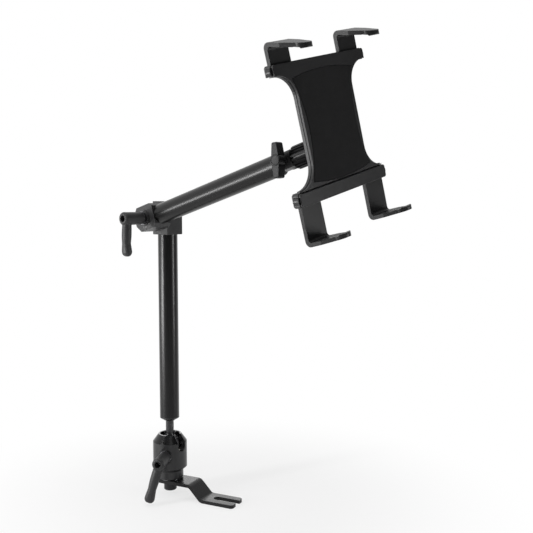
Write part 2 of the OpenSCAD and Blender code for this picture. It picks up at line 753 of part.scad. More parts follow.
// Lower bar, which slides out on two rails
module bar_outline() {
  z0 = -low_edge;
  z1 = -bar_in;
  polygon([[-half_l, z1 - 2], [-half_l + 2, z1], [half_l - 2, z1], [half_l, z1 - 2],
    [half_l, z0 + 2], [half_l - 2, z0], [-half_l + 2, z0], [-half_l, z0 + 2]]);
}
module lower_bar_back() {
  color([0.14, 0.14, 0.15]) at_holder() difference() {
    plate_x(0, split_x) bar_outline();
    leg_channels(-1);
    for (s = [-1, 1]) block(rail_x + gap, rail_x + gap + rail_t, s * rail_y - rail_w / 2,
      s * rail_y + rail_w / 2, -low_edge + 3, -bar_in + 1);
  }
}
module lower_bar_front() {
  color([0.15, 0.15, 0.16]) at_holder() difference() {
    plate_x(split_x, holder_t) offset(delta = -shell_step) bar_outline();
    release_room(1, -1);
    release_room(-1, -1);
  }
}
module slide_rails() {
  color([0.5, 0.5, 0.52]) at_holder() for (s = [-1, 1])
    block(rail_x + gap, rail_x + gap + rail_t, s * rail_y - rail_w / 2, s * rail_y + rail_w / 2,
      -low_edge + 3, -bar_in + rail_len - 1);
}

// Legs: an L whose stem plugs into a bar and whose ribbed lip narrows to a round tip
module leg_side(stem, toe) {
  end = stem;
  lip_top = end - lip_t;
  polygon(concat(
    [[0, -leg_grip], [leg_t, -leg_grip], [leg_t, lip_top - 3]],
    arc(leg_t + 3, lip_top - 3, 3, 180, 90, 6),
    [[lip_reach - 6, lip_top - toe + 0.6], [lip_reach - 5, lip_top - toe - lip_hook],
     [lip_reach - 1, lip_top - toe - lip_hook], [lip_reach, lip_top - toe - lip_hook + 1],
     [lip_reach, end - toe - 1]],
    arc(6, end - 6, 6, 80, 180, 8)
  ));
}
module leg_plan() {
  tip_w = leg_w * 0.62;
  union() {
    polygon([[-1, -leg_w / 2], [lip_reach * 0.45, -leg_w / 2], [lip_reach - tip_w / 2, -tip_w / 2],
      [lip_reach - tip_w / 2, tip_w / 2], [lip_reach * 0.45, leg_w / 2], [-1, leg_w / 2]]);
    translate([lip_reach - tip_w / 2, 0]) circle(r = tip_w / 2);
  }
}
module leg(stem, toe) {
  color([0.16, 0.16, 0.17]) difference() {
    intersection() {
      rotate([90, 0, 0]) linear_extrude(height = leg_w, center = true) leg_side(stem, toe);
      translate([0, 0, -leg_grip - 1]) linear_extrude(height = stem + leg_grip + 2) leg_plan();
    }
    for (i = [-2 : 2]) translate([leg_t + 6, i * leg_w / 6.4, stem - lip_t - 0.3])
      rotate([0, atan((toe - 0.6) / (lip_reach - leg_t - 9)), 0])
        block(0, lip_reach - leg_t - 15, -1, 1, -3, 0.6);
  }
}
module upper_leg_at(s) { at_holder() translate([leg_x, s * leg_y, half_h]) leg(upper_leg, upper_toe); }
module lower_leg_at(s) {
  at_holder() translate([leg_x, s * leg_y, -low_edge]) mirror([0, 0, 1]) leg(lower_leg, lower_toe);
}
module upper_left_leg() { upper_leg_at(-1); }
module upper_right_leg() { upper_leg_at(1); }
module lower_left_leg() { lower_leg_at(-1); }
module lower_right_leg() { lower_leg_at(1); }

// Release buttons at the ends of the bars
module release(s, up) {
  z0 = bar_middle(up);
  y0 = half_l - release_deep + release_travel + gap;
  y1 = half_l + release_proud;
  color([0.2, 0.2, 0.21]) at_holder() intersection() {
    block(floor_x + gap, holder_t - 2 - gap, s > 0 ? y0 : -y1, s > 0 ? y1 : -y0, z0 - 4 + gap, z0 + 4 - gap);
    translate([0, s * (y1 - 6), z0]) plate_x(0, holder_t) circle(r = 6);
  }
}
module upper_left_release() { release(-1, 1); }
module upper_right_release() { release(1, 1); }
module lower_left_release() { release(-1, -1); }
module lower_right_release() { release(1, -1); }

foot_bracket();
foot_bolt();
foot_washer();
head_housing();
head_collar();
ball_seat();
pressure_pad();
ball_stud();
head_lever_stud();
head_lever_screw();
head_lever();
post_plug();
post_tube();
post_block();
elbow_disc();
arm_block();
arm_tube();
arm_tip();
elbow_lever_stud();
elbow_lever_screw();
elbow_lever();
knuckle_fork();
knuckle_bolt();
wing_knob();
ring_nut();
swivel_ball();
adapter_disc();
adapter_screws();
holder_back();
holder_front();
cover_screws();
foam_pad();
return_springs();
lower_bar_back();
lower_bar_front();
slide_rails();
upper_left_leg();
upper_right_leg();
lower_left_leg();
lower_right_leg();
upper_left_release();
upper_right_release();
lower_left_release();
lower_right_release();
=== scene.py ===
import json
import math
import bmesh
import bpy
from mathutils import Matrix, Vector


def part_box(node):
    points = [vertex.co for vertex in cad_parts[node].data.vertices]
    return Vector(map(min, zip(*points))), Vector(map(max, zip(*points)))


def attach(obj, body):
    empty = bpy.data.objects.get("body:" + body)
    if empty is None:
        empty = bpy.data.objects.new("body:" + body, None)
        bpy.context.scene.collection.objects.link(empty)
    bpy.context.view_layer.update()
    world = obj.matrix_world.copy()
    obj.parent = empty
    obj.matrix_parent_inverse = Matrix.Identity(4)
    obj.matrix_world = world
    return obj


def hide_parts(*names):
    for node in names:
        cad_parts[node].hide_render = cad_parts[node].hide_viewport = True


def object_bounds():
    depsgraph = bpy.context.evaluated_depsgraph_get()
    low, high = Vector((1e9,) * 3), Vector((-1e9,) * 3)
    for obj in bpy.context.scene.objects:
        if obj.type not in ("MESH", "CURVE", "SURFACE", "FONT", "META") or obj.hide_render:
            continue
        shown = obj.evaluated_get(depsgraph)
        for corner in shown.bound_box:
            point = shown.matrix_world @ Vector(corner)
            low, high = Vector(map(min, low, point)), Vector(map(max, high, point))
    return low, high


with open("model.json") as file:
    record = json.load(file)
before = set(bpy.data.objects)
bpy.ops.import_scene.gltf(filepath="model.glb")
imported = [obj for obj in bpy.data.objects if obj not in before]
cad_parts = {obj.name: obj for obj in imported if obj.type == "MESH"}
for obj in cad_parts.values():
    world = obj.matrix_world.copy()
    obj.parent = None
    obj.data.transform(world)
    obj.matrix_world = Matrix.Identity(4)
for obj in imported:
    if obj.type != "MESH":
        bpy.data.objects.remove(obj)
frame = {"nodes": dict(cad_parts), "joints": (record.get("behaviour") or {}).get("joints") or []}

cad_box = [list(corner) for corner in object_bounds()]

# The picture: a product shot on white, taken from the fork's side a little above the head of the post.
# The view keeps the photograph's place, pitch and focal length.
camera_data = bpy.data.cameras.new("camera")
camera_data.lens = 54.22
camera_data.sensor_width = 36
camera_data.clip_start, camera_data.clip_end = 0.01, 50
camera = bpy.data.objects.new("camera", camera_data)
camera.location = (0.5000, -0.8867, 0.3990)
camera.rotation_euler = (math.radians(84.88), 0, math.radians(25.83))
bpy.context.collection.objects.link(camera)
bpy.context.scene.camera = camera
bpy.context.scene.view_settings.view_transform = "Standard"

# The room: white paper behind and to the left of the mount, and a dim room on the other side.
# Tall strip boxes at both sides give the lengthwise streaks on the round parts.
world = bpy.data.worlds.new("studio")
bpy.context.scene.world = world
world.use_nodes = True
sky = world.node_tree
sky.nodes.clear()
sky_path = sky.nodes.new("ShaderNodeLightPath")
sky_seen = sky.nodes.new("ShaderNodeMath")
sky_seen.operation = "MAXIMUM"
sky_clear = sky.nodes.new("ShaderNodeMath")
sky_clear.operation = "MAXIMUM"
sky_paper = sky.nodes.new("ShaderNodeBackground")
sky_paper.inputs["Strength"].default_value = 1.0
sky_light = sky.nodes.new("ShaderNodeBackground")
sky_light.inputs["Color"].default_value = (1, 1, 1, 1)
sky_light.inputs["Strength"].default_value = 0.30
sky_place = sky.nodes.new("ShaderNodeTexCoord")
sky_behind = sky.nodes.new("ShaderNodeVectorMath")
sky_behind.operation = "DOT_PRODUCT"
backdrop_way = (-0.82, 0.57, 0.0)
sky_behind.inputs[1].default_value = backdrop_way
sky_fall = sky.nodes.new("ShaderNodeMapRange")
sky_fall.interpolation_type = "SMOOTHSTEP"
sky_fall.inputs["From Min"].default_value, sky_fall.inputs["From Max"].default_value = -0.35, 0.60
sky_fall.inputs["To Min"].default_value, sky_fall.inputs["To Max"].default_value = 0.06, 1.0
sky_tone = sky.nodes.new("ShaderNodeMath")
sky_tone.operation = "MAXIMUM"
sky_mix = sky.nodes.new("ShaderNodeMixShader")
sky_out = sky.nodes.new("ShaderNodeOutputWorld")
sky.links.new(sky_place.outputs["Generated"], sky_behind.inputs[0])
sky.links.new(sky_behind.outputs["Value"], sky_fall.inputs["Value"])
sky.links.new(sky_fall.outputs["Result"], sky_tone.inputs[0])
sky.links.new(sky_path.outputs["Is Camera Ray"], sky_tone.inputs[1])
sky.links.new(sky_tone.outputs[0], sky_paper.inputs["Color"])
sky.links.new(sky_path.outputs["Is Camera Ray"], sky_seen.inputs[0])
sky.links.new(sky_path.outputs["Is Glossy Ray"], sky_seen.inputs[1])
sky.links.new(sky_seen.outputs[0], sky_clear.inputs[0])
sky.links.new(sky_path.outputs["Is Transmission Ray"], sky_clear.inputs[1])
sky.links.new(sky_clear.outputs[0], sky_mix.inputs["Fac"])
sky.links.new(sky_light.outputs[0], sky_mix.inputs[1])
sky.links.new(sky_paper.outputs[0], sky_mix.inputs[2])
sky.links.new(sky_mix.outputs[0], sky_out.inputs["Surface"])

# Lamps: soft boxes that all face the middle of the mount, each with its width, height and power in watts.
# The low strip leans along the arm and draws the streak on it.
middle = Vector((0.05, -0.05, 0.27))


def soft_box(name, place, width, height, power, roll=0):
    lamp_data = bpy.data.lights.new(name, "AREA")
    lamp_data.shape = "RECTANGLE"
    lamp_data.size, lamp_data.size_y = width, height
    lamp_data.energy = power
    lamp = bpy.data.objects.new(name, lamp_data)
    lamp.location = place
    lamp.rotation_euler = (middle - Vector(place)).to_track_quat("-Z", "Y").to_euler()
    lamp.rotation_euler.rotate_axis("Z", math.radians(roll))
    lamp.visible_camera = False
    bpy.context.collection.objects.link(lamp)


soft_box("left_strip", (-0.84, -1.17, 0.48), 0.14, 1.5, 16)
soft_box("right_strip", (1.45, 0.20, 0.20), 0.16, 0.56, 6)
soft_box("low_strip", (-0.89, -0.83, 0.08), 0.60, 0.27, 7.5, 15)
soft_box("back_strip", (-0.76, 1.28, 0.54), 0.50, 0.26, 1.0)
soft_box("overhead", (0.1, -0.3, 1.6), 1.0, 1.0, 8)

# Floor: a wide sheet of white paper just under the foot. It takes the mount's soft shadow close by, and
# fades to clean white further out. Gloss sees it as white on the backdrop's side alone.
floor_reach, floor_drop = 6.0, 0.0005
floor_mesh = bpy.data.meshes.new("floor")
floor_low = cad_box[0][2] - floor_drop
floor_mesh.from_pydata([(-floor_reach, -floor_reach, floor_low), (floor_reach, -floor_reach, floor_low),
                        (floor_reach, floor_reach, floor_low), (-floor_reach, floor_reach, floor_low)],
                       [], [(0, 1, 2, 3)])
floor = bpy.data.objects.new("floor", floor_mesh)
bpy.context.collection.objects.link(floor)
paper = bpy.data.materials.new("white_paper")
paper.use_nodes = True
paper_tree = paper.node_tree
paper_tree.nodes.clear()
paper_path = paper_tree.nodes.new("ShaderNodeLightPath")
paper_seen = paper_tree.nodes.new("ShaderNodeMath")
paper_seen.operation = "MAXIMUM"
paper_share = paper_tree.nodes.new("ShaderNodeMath")
paper_share.operation = "MULTIPLY"
paper_place = paper_tree.nodes.new("ShaderNodeTexCoord")
paper_behind = paper_tree.nodes.new("ShaderNodeVectorMath")
paper_behind.operation = "DOT_PRODUCT"
paper_behind.inputs[1].default_value = backdrop_way
paper_edge = paper_tree.nodes.new("ShaderNodeMapRange")
paper_edge.interpolation_type = "SMOOTHSTEP"
paper_edge.inputs["From Min"].default_value, paper_edge.inputs["From Max"].default_value = -0.30, 0.10
paper_mirror = paper_tree.nodes.new("ShaderNodeMath")
paper_mirror.operation = "MULTIPLY"
paper_far = paper_tree.nodes.new("ShaderNodeVectorMath")
paper_far.operation = "LENGTH"
paper_fade = paper_tree.nodes.new("ShaderNodeMapRange")
paper_fade.interpolation_type = "SMOOTHSTEP"
paper_fade.inputs["From Min"].default_value, paper_fade.inputs["From Max"].default_value = 0.10, 0.42
paper_fade.inputs["To Min"].default_value, paper_fade.inputs["To Max"].default_value = 0.70, 1.0
paper_flat = paper_tree.nodes.new("ShaderNodeBsdfDiffuse")
paper_flat.inputs["Color"].default_value = (0.86, 0.86, 0.86, 1)
paper_white = paper_tree.nodes.new("ShaderNodeEmission")
paper_mix = paper_tree.nodes.new("ShaderNodeMixShader")
paper_out = paper_tree.nodes.new("ShaderNodeOutputMaterial")
paper_tree.links.new(paper_place.outputs["Object"], paper_behind.inputs[0])
paper_tree.links.new(paper_behind.outputs["Value"], paper_edge.inputs["Value"])
paper_tree.links.new(paper_path.outputs["Is Glossy Ray"], paper_mirror.inputs[0])
paper_tree.links.new(paper_edge.outputs["Result"], paper_mirror.inputs[1])
paper_tree.links.new(paper_path.outputs["Is Camera Ray"], paper_seen.inputs[0])
paper_tree.links.new(paper_mirror.outputs[0], paper_seen.inputs[1])
paper_tree.links.new(paper_place.outputs["Object"], paper_far.inputs[0])
paper_tree.links.new(paper_far.outputs["Value"], paper_fade.inputs["Value"])
paper_tree.links.new(paper_fade.outputs["Result"], paper_share.inputs[1])
paper_tree.links.new(paper_seen.outputs[0], paper_share.inputs[0])
paper_tree.links.new(paper_share.outputs[0], paper_mix.inputs["Fac"])
paper_tree.links.new(paper_flat.outputs[0], paper_mix.inputs[1])
paper_tree.links.new(paper_white.outputs[0], paper_mix.inputs[2])
paper_tree.links.new(paper_mix.outputs[0], paper_out.inputs["Surface"])
floor_mesh.materials.append(paper)

# Foot: one strip of 4.5 mm steel, cranked in a brake, slotted for the rail bolt and powder coated.
# Its socket bolt and washer come through the upper tab from below and hold the ball head.


def effect(name, inputs, outputs):
    """An empty node group with these number, vector and colour sockets."""
    group = bpy.data.node_groups.new(name, "ShaderNodeTree")
    for label, kind, value in inputs:
        socket = group.interface.new_socket(label, in_out="INPUT", socket_type=kind)
        if value is not None:
            socket.default_value = value
    for label, kind in outputs:
        group.interface.new_socket(label, in_out="OUTPUT", socket_type=kind)
    return group, group.nodes.new("NodeGroupInput"), group.nodes.new("NodeGroupOutput")


def link(tree, *pairs):
    for source, target in pairs:
        tree.links.new(source, target)


# Powder and moulding grain: fine specks for the bump, and slower clouds for tone and gloss.
grain, grain_in, grain_out = effect(
    "surface_grain",
    [("Vector", "NodeSocketVector", None), ("Speck Scale", "NodeSocketFloat", 1600.0),
     ("Cloud Scale", "NodeSocketFloat", 60.0), ("Dark", "NodeSocketColor", (0, 0, 0, 1)),
     ("Light", "NodeSocketColor", (1, 1, 1, 1)), ("Gloss Low", "NodeSocketFloat", 0.4),
     ("Gloss High", "NodeSocketFloat", 0.5)],
    [("Color", "NodeSocketColor"), ("Roughness", "NodeSocketFloat"), ("Height", "NodeSocketFloat")])
speck = grain.nodes.new("ShaderNodeTexNoise")
speck.inputs["Detail"].default_value = 2.0
cloud = grain.nodes.new("ShaderNodeTexNoise")
cloud.inputs["Detail"].default_value = 4.0
tone = grain.nodes.new("ShaderNodeMix")
tone.data_type = "RGBA"
stir = grain.nodes.new("ShaderNodeMath")
stir.operation = "MULTIPLY_ADD"
stir.inputs[1].default_value, stir.inputs[2].default_value = 0.35, 0.0
sum_up = grain.nodes.new("ShaderNodeMath")
sum_up.operation = "MULTIPLY_ADD"
sum_up.inputs[1].default_value = 0.65
gloss = grain.nodes.new("ShaderNodeMapRange")
link(grain,
     (grain_in.outputs["Vector"], speck.inputs["Vector"]),
     (grain_in.outputs["Speck Scale"], speck.inputs["Scale"]),
     (grain_in.outputs["Vector"], cloud.inputs["Vector"]),
     (grain_in.outputs["Cloud Scale"], cloud.inputs["Scale"]),
     (speck.outputs["Fac"], stir.inputs[0]), (cloud.outputs["Fac"], sum_up.inputs[0]),
     (stir.outputs[0], sum_up.inputs[2]), (sum_up.outputs[0], tone.inputs["Factor"]),
     (grain_in.outputs["Dark"], tone.inputs["A"]), (grain_in.outputs["Light"], tone.inputs["B"]),
     (cloud.outputs["Fac"], gloss.inputs["Value"]), (grain_in.outputs["Gloss Low"], gloss.inputs["To Min"]),
     (grain_in.outputs["Gloss High"], gloss.inputs["To Max"]),
     (tone.outputs["Result"], grain_out.inputs["Color"]),
     (gloss.outputs["Result"], grain_out.inputs["Roughness"]),
     (speck.outputs["Fac"], grain_out.inputs["Height"]))


def coated(name, dark, light, gloss_range, speck_scale, cloud_scale, bump, depth, **plain):
    """A material with the grain group before its own shader. plain are values set on the shader's sockets."""
    made = bpy.data.materials.new(name)
    made.use_nodes = True
    tree = made.node_tree
    shader = tree.nodes["Principled BSDF"]
    place = tree.nodes.new("ShaderNodeTexCoord")
    surface = tree.nodes.new("ShaderNodeGroup")
    surface.node_tree = grain
    surface.inputs["Dark"].default_value = (*dark, 1)
    surface.inputs["Light"].default_value = (*light, 1)
    surface.inputs["Gloss Low"].default_value, surface.inputs["Gloss High"].default_value = gloss_range
    surface.inputs["Speck Scale"].default_value = speck_scale
    surface.inputs["Cloud Scale"].default_value = cloud_scale
    raised = tree.nodes.new("ShaderNodeBump")
    raised.inputs["Strength"].default_value = bump
    raised.inputs["Distance"].default_value = depth
    link(tree, (place.outputs["Object"], surface.inputs["Vector"]),
         (surface.outputs["Color"], shader.inputs["Base Color"]),
         (surface.outputs["Roughness"], shader.inputs["Roughness"]),
         (surface.outputs["Height"], raised.inputs["Height"]),
         (raised.outputs["Normal"], shader.inputs["Normal"]))
    for socket, value in plain.items():
        shader.inputs[socket.replace("_", " ")].default_value = value
    return made


def finish_nodes(material, *names):
    """Gives each CAD node that finish on all its faces."""
    for name in names:
        mesh = frame["nodes"][name].data
        mesh.materials.clear()
        mesh.materials.append(material)


fork_coat = coated("fork_coat", (0.006, 0.006, 0.0065), (0.012, 0.012, 0.0125), (0.22, 0.32), 1500, 60,
                     0.20, 0.00006, Specular_IOR_Level=0.26)
bright_zinc = coated("bright_zinc", (0.34, 0.34, 0.36), (0.50, 0.50, 0.52), (0.20, 0.34), 2200, 160,
                     0.12, 0.00003, Metallic=1.0)
black_oxide = coated("black_oxide", (0.012, 0.012, 0.013), (0.026, 0.026, 0.028), (0.24, 0.38), 2000, 140,
                     0.15, 0.00004, Metallic=0.6)
finish_nodes(fork_coat, "foot_bracket")
finish_nodes(black_oxide, "foot_bolt")
finish_nodes(bright_zinc, "foot_washer")

# Ball head: a turned aluminium housing with a cone collar, both black anodised, over a nylon seat.
# The steel ball sits in it, and its stem leans out through the drop slot.
matt_anodised = coated("matt_anodised", (0.013, 0.013, 0.0135), (0.022, 0.022, 0.023), (0.30, 0.40),
                       2400, 90, 0.10, 0.00003, Specular_IOR_Level=0.40)
gloss_anodised = coated("gloss_anodised", (0.0025, 0.0025, 0.0028), (0.005, 0.005, 0.0055), (0.18, 0.25),
                        2400, 90, 0.05, 0.00002, Specular_IOR_Level=0.35)
nylon = coated("nylon", (0.60, 0.59, 0.54), (0.72, 0.71, 0.66), (0.40, 0.52), 1400, 90, 0.10, 0.00004)
brass = coated("brass", (0.60, 0.42, 0.16), (0.72, 0.52, 0.22), (0.24, 0.36), 1800, 120, 0.10, 0.00003,
               Metallic=1.0)
stud_steel = coated("stud_steel", (0.010, 0.010, 0.011), (0.022, 0.022, 0.024), (0.22, 0.34), 2200, 120,
                    0.08, 0.00003)
# The stem is blackened above the ball, and the ball itself is polished.
joints = {joint["name"]: joint for joint in frame["joints"]}
ball_reach, black_edge = 0.0095, 0.0004
ball_top = joints["ball_tilt"]["pos_m"][2] + ball_reach
stud_tree = stud_steel.node_tree
stud_shader = stud_tree.nodes["Principled BSDF"]
stud_surface = next(node for node in stud_tree.nodes if node.type == "GROUP")
stud_height = stud_tree.nodes.new("ShaderNodeSeparateXYZ")
stud_spot = next(node for node in stud_tree.nodes if node.type == "TEX_COORD")
stud_bare = stud_tree.nodes.new("ShaderNodeMapRange")
stud_bare.inputs["From Min"].default_value = ball_top + black_edge
stud_bare.inputs["From Max"].default_value = ball_top
stud_tone = stud_tree.nodes.new("ShaderNodeMix")
stud_tone.data_type = "RGBA"
stud_tone.inputs["B"].default_value = (0.62, 0.62, 0.64, 1)
link(stud_tree, (stud_spot.outputs["Object"], stud_height.inputs[0]),
     (stud_height.outputs["Z"], stud_bare.inputs["Value"]),
     (stud_bare.outputs["Result"], stud_tone.inputs["Factor"]),
     (stud_surface.outputs["Color"], stud_tone.inputs["A"]),
     (stud_tone.outputs["Result"], stud_shader.inputs["Base Color"]),
     (stud_bare.outputs["Result"], stud_shader.inputs["Metallic"]))
finish_nodes(matt_anodised, "head_housing")
finish_nodes(gloss_anodised, "head_collar")
finish_nodes(nylon, "ball_seat")
finish_nodes(brass, "pressure_pad")
finish_nodes(stud_steel, "ball_stud")

# Clamp levers: die-cast zinc grips with a wrinkle powder coat, on steel studs with a socket screw.
# A grip lifts against a spring off its splines and can be set round again.
lever_coat = coated("lever_coat", (0.015, 0.015, 0.0155), (0.030, 0.030, 0.031), (0.40, 0.54), 1100, 90,
                    0.55, 0.00014, Specular_IOR_Level=0.35)
finish_nodes(bright_zinc, "head_lever_stud", "elbow_lever_stud", "head_lever_screw", "elbow_lever_screw")
screw_bore, bore_keep = 0.0039, 0.0056
hub_reach, floor_relief = 0.0085, 0.0004
casting_voxel, casting_passes = 0.00045, 7
grip_swell, swell_lead = 0.0011, 1.12


def cast_lever(name, body, turn):
    """The node's shape as a die casting, smooth from hub to grip. Its screw's bore keeps the node's walls."""
    source = frame["nodes"][name]
    hub_axis = Vector(turn["axis"]).normalized()
    hub_place = Vector(turn["pos_m"])

    def from_hub(point):
        depth = (point - hub_place).dot(hub_axis)
        return depth, point - hub_place - hub_axis * depth

    cad_spots = [from_hub(v.co) for v in source.data.vertices]
    bore_ends = [depth for depth, off in cad_spots if abs(off.length - screw_bore) < 0.0002]
    outermost = max(depth for depth, off in cad_spots)
    bore_floor = min(bore_ends) if abs(max(bore_ends) - outermost) < 0.0005 else max(bore_ends)
    inward = -1 if bore_floor < sum(bore_ends) / len(bore_ends) else 1
    grip_off = max((off for depth, off in cad_spots), key=lambda off: off.length)
    grip_reach, grip_along = grip_off.length, grip_off.normalized()
    grip_depths = [depth for depth, off in cad_spots if off.length > grip_reach * 0.6]
    grip_depth = sum(grip_depths) / len(grip_depths)
    mesh = source.data.copy()
    mesh.name = name + "_casting"
    mesh.materials.clear()
    mesh.materials.append(lever_coat)
    casting = bpy.data.objects.new(name + "_casting", mesh)
    bpy.context.collection.objects.link(casting)
    grid = casting.modifiers.new("grid", "REMESH")
    grid.mode, grid.voxel_size = "VOXEL", casting_voxel
    bpy.context.view_layer.update()
    casting.data = bpy.data.meshes.new_from_object(
        casting.evaluated_get(bpy.context.evaluated_depsgraph_get()))
    casting.modifiers.clear()
    work = bmesh.new()
    work.from_mesh(casting.data)
    outside = [v for v in work.verts if from_hub(v.co)[1].length > bore_keep]
    for _ in range(casting_passes):
        bmesh.ops.smooth_vert(work, verts=outside, factor=0.5,
                              use_axis_x=True, use_axis_y=True, use_axis_z=True)
    for v in work.verts:
        depth, off = from_hub(v.co)
        along = off.dot(grip_along)
        share = (along - hub_reach) / (grip_reach - hub_reach)
        if 0 < share < 1:
            out = v.co - (hub_place + hub_axis * grip_depth + grip_along * along)
            v.co += out.normalized() * grip_swell * math.sin(math.pi * min(share * swell_lead, 1.0))
        # The bore's floor comes up to the screw's head as the grip is lifted, and stays just clear of it.
        if off.length < screw_bore + 0.0007 and abs(depth - bore_floor) < 2 * casting_voxel:
            v.co += hub_axis * inward * floor_relief
    work.to_mesh(casting.data)
    work.free()
    casting.data.shade_smooth()
    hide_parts(name)
    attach(casting, body)


cast_lever("head_lever", "head_grip", joints["head_lever_turn"])
cast_lever("elbow_lever", "elbow_grip", joints["elbow_lever_turn"])

# Post and arm: 25.4 mm aluminium tube, bright black anodised, so the drawing marks run along it.
# Each tube is pressed over a turned plug or the spigot of its elbow block.
drawn, drawn_in, drawn_out = effect(
    "drawn_lines",
    [("Vector", "NodeSocketVector", None), ("Across", "NodeSocketFloat", 1500.0),
     ("Along", "NodeSocketFloat", 6.0), ("Dark", "NodeSocketColor", (0, 0, 0, 1)),
     ("Light", "NodeSocketColor", (1, 1, 1, 1)), ("Gloss Low", "NodeSocketFloat", 0.2),
     ("Gloss High", "NodeSocketFloat", 0.3)],
    [("Color", "NodeSocketColor"), ("Roughness", "NodeSocketFloat"), ("Height", "NodeSocketFloat")])
stretch = drawn.nodes.new("ShaderNodeCombineXYZ")
scaled = drawn.nodes.new("ShaderNodeVectorMath")
scaled.operation = "MULTIPLY"
lines = drawn.nodes.new("ShaderNodeTexNoise")
lines.inputs["Scale"].default_value = 1.0
lines.inputs["Detail"].default_value = 3.0
line_tone = drawn.nodes.new("ShaderNodeMix")
line_tone.data_type = "RGBA"
line_gloss = drawn.nodes.new("ShaderNodeMapRange")
link(drawn,
     (drawn_in.outputs["Across"], stretch.inputs["X"]), (drawn_in.outputs["Across"], stretch.inputs["Y"]),
     (drawn_in.outputs["Along"], stretch.inputs["Z"]), (drawn_in.outputs["Vector"], scaled.inputs[0]),
     (stretch.outputs[0], scaled.inputs[1]), (scaled.outputs[0], lines.inputs["Vector"]),
     (lines.outputs["Fac"], line_tone.inputs["Factor"]), (drawn_in.outputs["Dark"], line_tone.inputs["A"]),
     (drawn_in.outputs["Light"], line_tone.inputs["B"]), (lines.outputs["Fac"], line_gloss.inputs["Value"]),
     (drawn_in.outputs["Gloss Low"], line_gloss.inputs["To Min"]),
     (drawn_in.outputs["Gloss High"], line_gloss.inputs["To Max"]),
     (line_tone.outputs["Result"], drawn_out.inputs["Color"]),
     (line_gloss.outputs["Result"], drawn_out.inputs["Roughness"]),
     (lines.outputs["Fac"], drawn_out.inputs["Height"]))


def tube_finish(name, origin, along):
    """Bright anodising on drawn tube. The lines run along the tube's own axis."""
    made = bpy.data.materials.new(name)
    made.use_nodes = True
    tree = made.node_tree
    shader = tree.nodes["Principled BSDF"]
    place = tree.nodes.new("ShaderNodeTexCoord")
    turn = tree.nodes.new("ShaderNodeMapping")
    turn.vector_type = "TEXTURE"
    turn.inputs["Location"].default_value = origin
    turn.inputs["Rotation"].default_value = Vector(along).to_track_quat("Z", "Y").to_euler()
    surface = tree.nodes.new("ShaderNodeGroup")
    surface.node_tree = drawn
    surface.inputs["Dark"].default_value = (0.0010, 0.0010, 0.0011, 1)
    surface.inputs["Light"].default_value = (0.0026, 0.0026, 0.0028, 1)
    surface.inputs["Gloss Low"].default_value, surface.inputs["Gloss High"].default_value = 0.25, 0.31
    raised = tree.nodes.new("ShaderNodeBump")
    raised.inputs["Strength"].default_value = 0.03
    raised.inputs["Distance"].default_value = 0.00001
    shader.inputs["Specular IOR Level"].default_value = 0.35
    link(tree, (place.outputs["Object"], turn.inputs["Vector"]),
         (turn.outputs[0], surface.inputs["Vector"]),
         (surface.outputs["Color"], shader.inputs["Base Color"]),
         (surface.outputs["Roughness"], shader.inputs["Roughness"]),
         (surface.outputs["Height"], raised.inputs["Height"]),
         (raised.outputs["Normal"], shader.inputs["Normal"]))
    return made


post_foot = joints["post_turn"]["pos_m"]
arm_along = Vector(joints["ring_turn"]["axis"])
arm_root = joints["elbow_fold"]["pos_m"]
finish_nodes(tube_finish("post_anodised", post_foot, (0, 0, 1)), "post_tube")
finish_nodes(tube_finish("arm_anodised", arm_root, arm_along), "arm_tube")
finish_nodes(matt_anodised, "post_plug", "arm_tip")
finish_nodes(bright_zinc, "elbow_disc")


def soft_edges(name, body, material, radius, corner=28):
    """The node's own shape with its sharp edges rolled over by that radius."""
    source = frame["nodes"][name]
    mesh = source.data.copy()
    mesh.name = name + "_rounded"
    work = bmesh.new()
    work.from_mesh(mesh)
    bmesh.ops.remove_doubles(work, verts=work.verts, dist=1e-6)
    bmesh.ops.dissolve_limit(work, angle_limit=math.radians(1.0), verts=work.verts, edges=work.edges)
    work.to_mesh(mesh)
    work.free()
    mesh.materials.clear()
    mesh.materials.append(material)
    rounded = bpy.data.objects.new(name + "_rounded", mesh)
    bpy.context.collection.objects.link(rounded)
    rounded.matrix_world = source.matrix_world.copy()
    roll = rounded.modifiers.new("rolled_edge", "BEVEL")
    roll.width, roll.segments, roll.limit_method = radius, 2, "ANGLE"
    roll.angle_limit = math.radians(corner)
    roll.miter_outer = "MITER_ARC"
    roll.use_clamp_overlap = True
    roll.harden_normals = True
    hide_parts(name)
    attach(rounded, body)
    return rounded


powder_coat = coated("powder_coat", (0.017, 0.017, 0.0175), (0.032, 0.032, 0.033), (0.32, 0.46), 1500, 70,
                     0.30, 0.00008, Specular_IOR_Level=0.35)
block_edge = 0.0006
soft_edges("post_block", "post", powder_coat, block_edge)
soft_edges("arm_block", "arm", powder_coat, block_edge)

# Wing knuckle: a moulded fork on the arm's tongue, drawn tight by a wing knob on a steel bolt.
# The ribbed ring nut screws over its cup and clamps the swivel ball.
moulded = coated("moulded_plastic", (0.011, 0.011, 0.0115), (0.022, 0.022, 0.023), (0.38, 0.52), 1300, 80,
                 0.40, 0.00010, Specular_IOR_Level=0.25)
ring_plastic = coated("ring_plastic", (0.0015, 0.0015, 0.0017), (0.004, 0.004, 0.0045), (0.20, 0.28),
                      1300, 80, 0.15, 0.00005, Specular_IOR_Level=0.12)
finish_nodes(moulded, "knuckle_fork")
finish_nodes(ring_plastic, "ring_nut")
finish_nodes(bright_zinc, "knuckle_bolt")
wing_edge, cap_sides = 0.0006, 36
wing = soft_edges("wing_knob", "wing", moulded, wing_edge)
